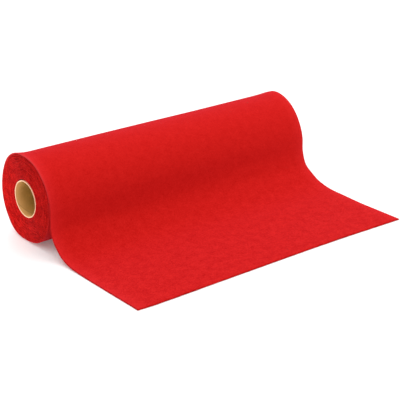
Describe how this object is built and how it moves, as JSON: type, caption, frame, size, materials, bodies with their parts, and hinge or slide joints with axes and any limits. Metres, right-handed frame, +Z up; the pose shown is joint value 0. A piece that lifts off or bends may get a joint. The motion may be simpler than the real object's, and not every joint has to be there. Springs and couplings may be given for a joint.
{
  "type": "roll of felt",
  "caption": "Roll of felt on a paperboard core, lying on a surface with its loose end drawn out flat in front.",
  "frame": {"origin": "under the middle of the whole, on the surface it rests on", "axes": "+X along the roll from the end that faces the viewer to the far end, -Y the way the felt is drawn out, +Z up"},
  "size_m": [0.4546, 0.3262, 0.1245],
  "materials": {
    "paperboard": "matt brown spirally wound board with a paler cut rim",
    "felt": "matt bright red pressed felt"
  },
  "bodies": {
    "root": {"core_tube": "paperboard", "felt": "felt"}
  },
  "joints": []
}
